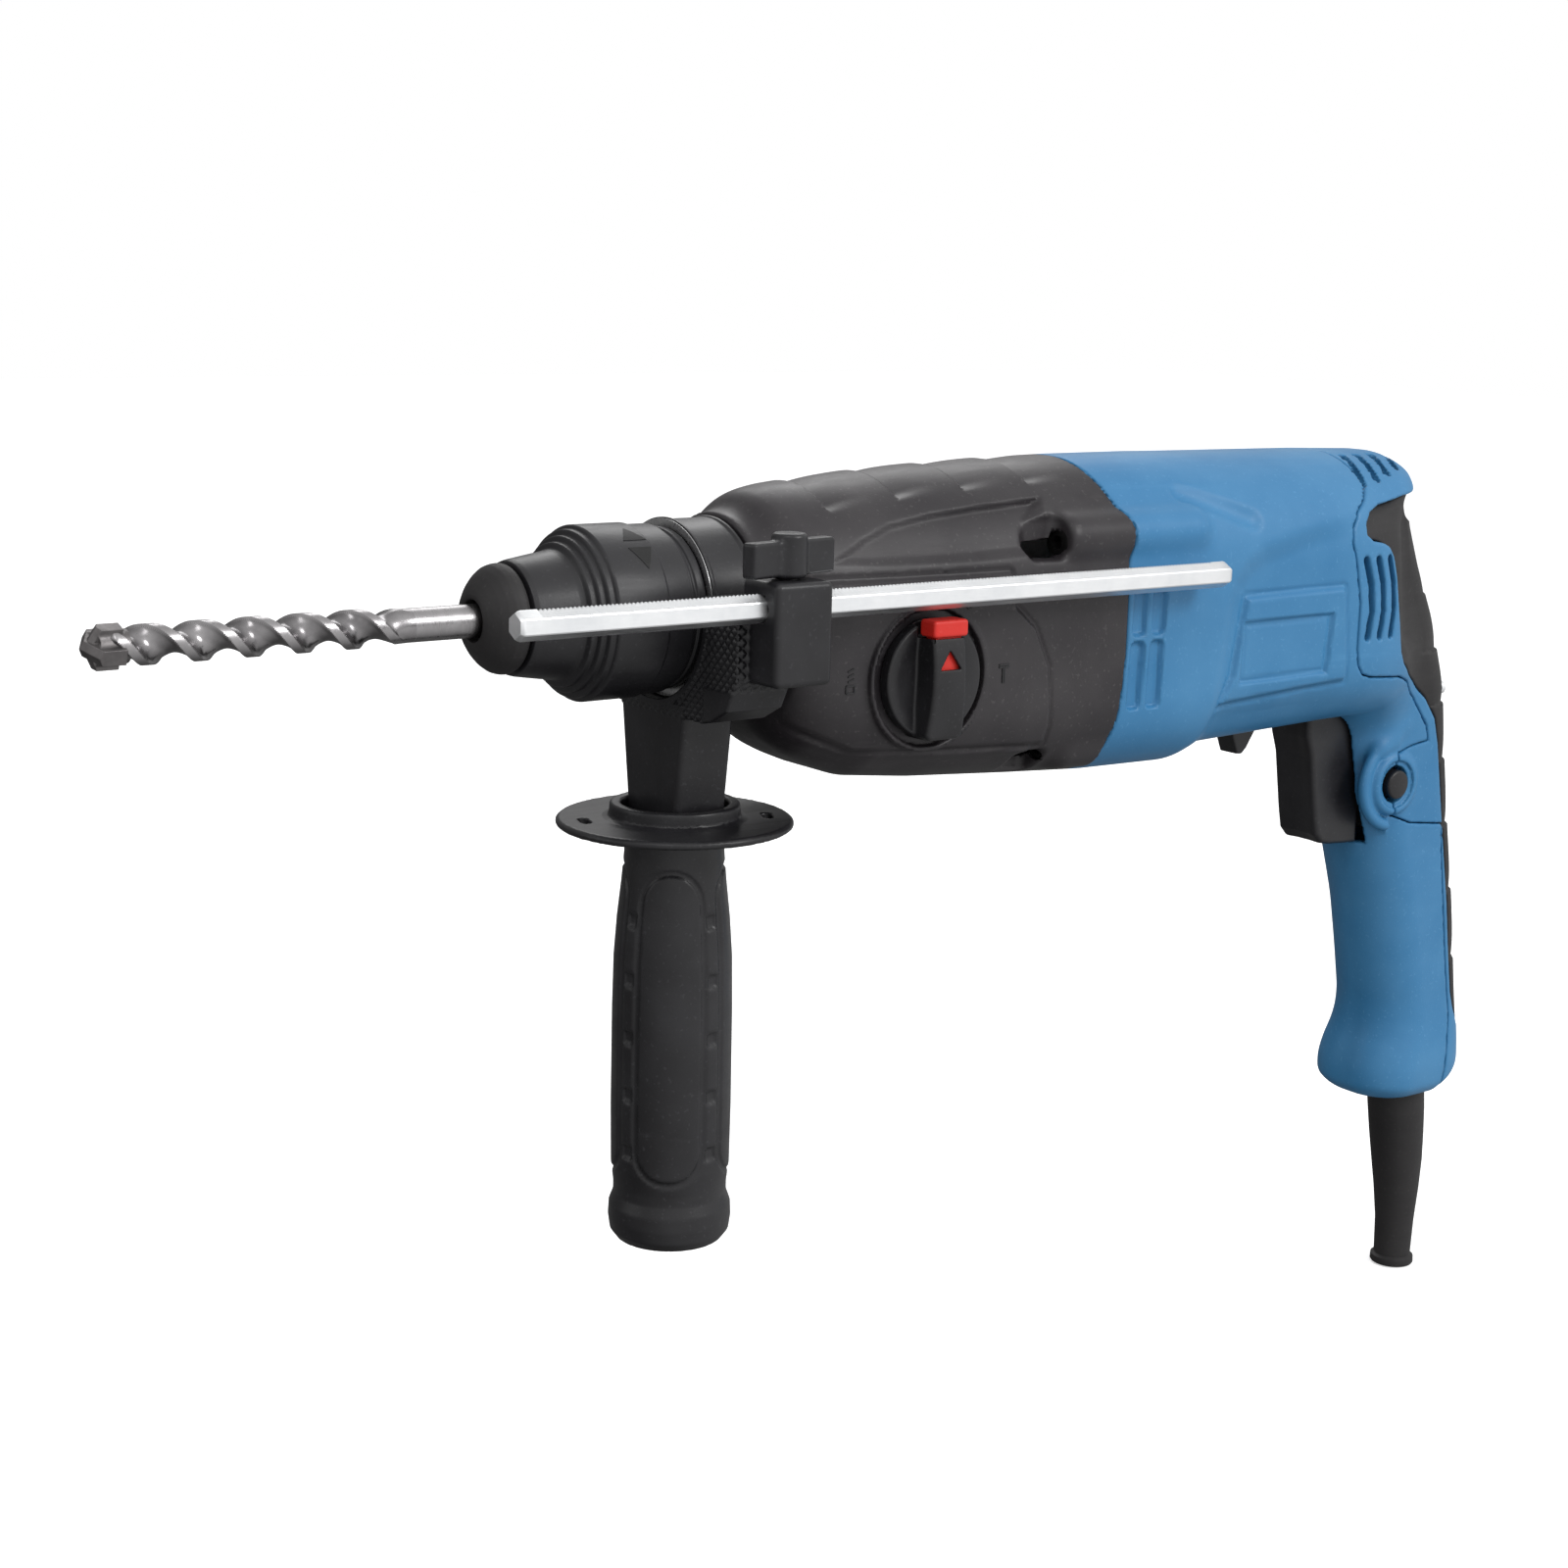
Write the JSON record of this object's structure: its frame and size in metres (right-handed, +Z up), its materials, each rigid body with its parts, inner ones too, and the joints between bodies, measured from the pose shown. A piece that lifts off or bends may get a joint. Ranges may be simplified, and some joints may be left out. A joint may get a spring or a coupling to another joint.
{
  "type": "rotary hammer",
  "caption": "Corded rotary hammer drill with keyless quick-change chuck, side handle with depth rod, mode knob, trigger handle and a fitted masonry bit.",
  "frame": {"origin": "on the spindle axis at the mouth of the chuck's dust cap, where a drill enters", "axes": "+X back along the spindle towards the handle, +Z up, -Y towards the side with the mode knob"},
  "size_m": [0.4952, 0.088, 0.294],
  "materials": {
    "black_plastic": "fine moulded grain",
    "blue_plastic": "fine moulded grain",
    "black_rubber": "matt",
    "red_plastic": "satin",
    "zinc_steel": "bright zinc",
    "drill_steel": "ground",
    "carbide": "sintered",
    "machined_steel": "machined",
    "dark_steel": "black oxide",
    "aluminium": "die cast",
    "bronze": "sintered",
    "copper": "enamelled wire",
    "brass": "stamped",
    "graphite": "pressed carbon"
  },
  "bodies": {
    "housing": {"gear_housing": "black_plastic", "motor_housing": "blue_plastic", "rear_cover": "blue_plastic", "rear_grip_pad": "black_rubber", "inner_housing": "aluminium", "housing_screws": "zinc_steel", "cover_screws": "zinc_steel", "cord_boot": "black_rubber", "cord_clamp": "black_plastic", "switch_body": "black_plastic", "field_core": "machined_steel", "field_coils": "copper", "brush_holders": "brass", "carbon_brushes": "graphite", "fan_baffle": "black_plastic", "spindle_bearing": "machined_steel", "spindle_rear_bush": "bronze", "oil_seal": "black_rubber", "intermediate_bearings": "machined_steel", "armature_bearings": "machined_steel"},
    "spindle": {"spindle_tube": "machined_steel", "spindle_gear": "machined_steel", "clutch_spring": "machined_steel", "chuck_ring": "dark_steel", "dust_cap": "black_rubber", "sleeve_spring": "machined_steel", "locking_balls": "machined_steel"},
    "bit": {"drill_bit": "drill_steel", "carbide_tip": "carbide"},
    "sleeve": {"lock_sleeve": "black_plastic", "ball_retainer": "machined_steel"},
    "beat_piece": {"beat_piece": "machined_steel"},
    "striker": {"striker": "machined_steel", "striker_ring": "black_rubber"},
    "piston": {"piston": "aluminium"},
    "piston_pin": {"piston_pin": "machined_steel"},
    "wobble": {"wobble_ring": "machined_steel", "wobble_balls": "machined_steel"},
    "intermediate": {"intermediate_shaft": "machined_steel", "intermediate_gear": "machined_steel", "wobble_hub": "machined_steel"},
    "armature": {"armature_shaft": "machined_steel", "armature_core": "machined_steel", "armature_windings": "copper", "commutator": "copper", "fan": "black_plastic"},
    "side_handle": {"clamp_band": "dark_steel", "handle_holder": "black_plastic", "handle_bolt": "zinc_steel"},
    "side_grip": {"side_grip": "black_plastic"},
    "wing_knob": {"wing_knob": "black_plastic"},
    "depth_rod": {"depth_rod": "zinc_steel"},
    "mode_knob": {"mode_knob": "black_plastic"},
    "knob_button": {"knob_button": "red_plastic"},
    "shift_plate": {"shift_plate": "machined_steel"},
    "trigger": {"trigger": "black_plastic"},
    "lock_button": {"lock_button": "black_plastic"},
    "reversing_lever": {"reversing_lever": "black_plastic"}
  },
  "joints": [
    {"name": "spindle_spin", "type": "hinge", "parent": "housing", "child": "spindle", "pos_m": [0.1, 0, 0], "axis": [1, 0, 0], "continuous": true},
    {"name": "bit_slide", "type": "slide", "parent": "spindle", "child": "bit", "axis": [-1, 0, 0], "range_m": [0, 0.008]},
    {"name": "sleeve_slide", "type": "slide", "parent": "spindle", "child": "sleeve", "axis": [1, 0, 0], "range_m": [0, 0.005], "stiffness_N_per_m": 1000, "springref_m": -0.004, "deforming": ["sleeve_spring"]},
    {"name": "beat_piece_slide", "type": "slide", "parent": "spindle", "child": "beat_piece", "axis": [-1, 0, 0], "range_m": [0, 0.0038]},
    {"name": "striker_slide", "type": "slide", "parent": "spindle", "child": "striker", "axis": [-1, 0, 0], "range_m": [-0.003, 0.0037]},
    {"name": "piston_slide", "type": "slide", "parent": "housing", "child": "piston", "axis": [1, 0, 0], "range_m": [-0.0065, 0.0065]},
    {"name": "piston_pin_turn", "type": "hinge", "parent": "piston", "child": "piston_pin", "pos_m": [0.15, 0, 0], "axis": [0, 1, 0], "range_deg": [-12.1, 12.1]},
    {"name": "wobble_tilt", "type": "hinge", "parent": "housing", "child": "wobble", "pos_m": [0.15, 0, -0.031], "axis": [0, 1, 0], "range_deg": [-12.1, 12.1]},
    {"name": "intermediate_spin", "type": "hinge", "parent": "housing", "child": "intermediate", "pos_m": [0.1, 0, -0.031], "axis": [1, 0, 0], "continuous": true},
    {"name": "armature_spin", "type": "hinge", "parent": "housing", "child": "armature", "pos_m": [0.25, 0, -0.009], "axis": [1, 0, 0], "continuous": true},
    {"name": "side_handle_turn", "type": "hinge", "parent": "housing", "child": "side_handle", "pos_m": [0.0645, 0, 0], "axis": [-1, 0, 0], "range_deg": [0, 180]},
    {"name": "side_grip_twist", "type": "hinge", "parent": "side_handle", "child": "side_grip", "pos_m": [0.0615, 0, -0.1], "axis": [0, 0, 1], "range_deg": [0, 360]},
    {"name": "wing_knob_turn", "type": "hinge", "parent": "side_handle", "child": "wing_knob", "pos_m": [0.066, -0.044, 0.015], "axis": [0, 0, 1], "range_deg": [0, 180]},
    {"name": "depth_rod_slide", "type": "slide", "parent": "side_handle", "child": "depth_rod", "axis": [-1, 0, 0], "range_m": [-0.065, 0.13]},
    {"name": "mode_knob_turn", "type": "hinge", "parent": "housing", "child": "mode_knob", "pos_m": [0.121, -0.036, -0.019], "axis": [0, -1, 0], "range_deg": [-90, 90]},
    {"name": "knob_button_press", "type": "slide", "parent": "mode_knob", "child": "knob_button", "axis": [0, 1, 0], "range_m": [0, 0.002], "stiffness_N_per_m": 400, "springref_m": -0.003},
    {"name": "shift_plate_slide", "type": "slide", "parent": "housing", "child": "shift_plate", "axis": [1, 0, 0], "range_m": [-0.00502, 0.00502]},
    {"name": "trigger_pull", "type": "slide", "parent": "housing", "child": "trigger", "axis": [1, 0, 0], "range_m": [0, 0.006], "stiffness_N_per_m": 800, "springref_m": -0.005},
    {"name": "lock_button_press", "type": "slide", "parent": "housing", "child": "lock_button", "axis": [0, 1, 0], "range_m": [0, 0.003], "stiffness_N_per_m": 500, "springref_m": -0.003},
    {"name": "reversing_lever_swing", "type": "hinge", "parent": "housing", "child": "reversing_lever", "pos_m": [0.314, 0, -0.05], "axis": [0, 0, 1], "range_deg": [-14, 14]}
  ],
  "couplings": [
    {"joint": "intermediate_spin", "follows": "spindle_spin", "ratio": -5.2},
    {"joint": "armature_spin", "follows": "spindle_spin", "ratio": 23.4},
    {"joint": "wobble_tilt", "follows": "piston_slide", "rad_per_m": 32.258},
    {"joint": "piston_pin_turn", "follows": "piston_slide", "rad_per_m": 32.258},
    {"joint": "shift_plate_slide", "follows": "mode_knob_turn", "m_per_rad": 0.0031831}
  ]
}
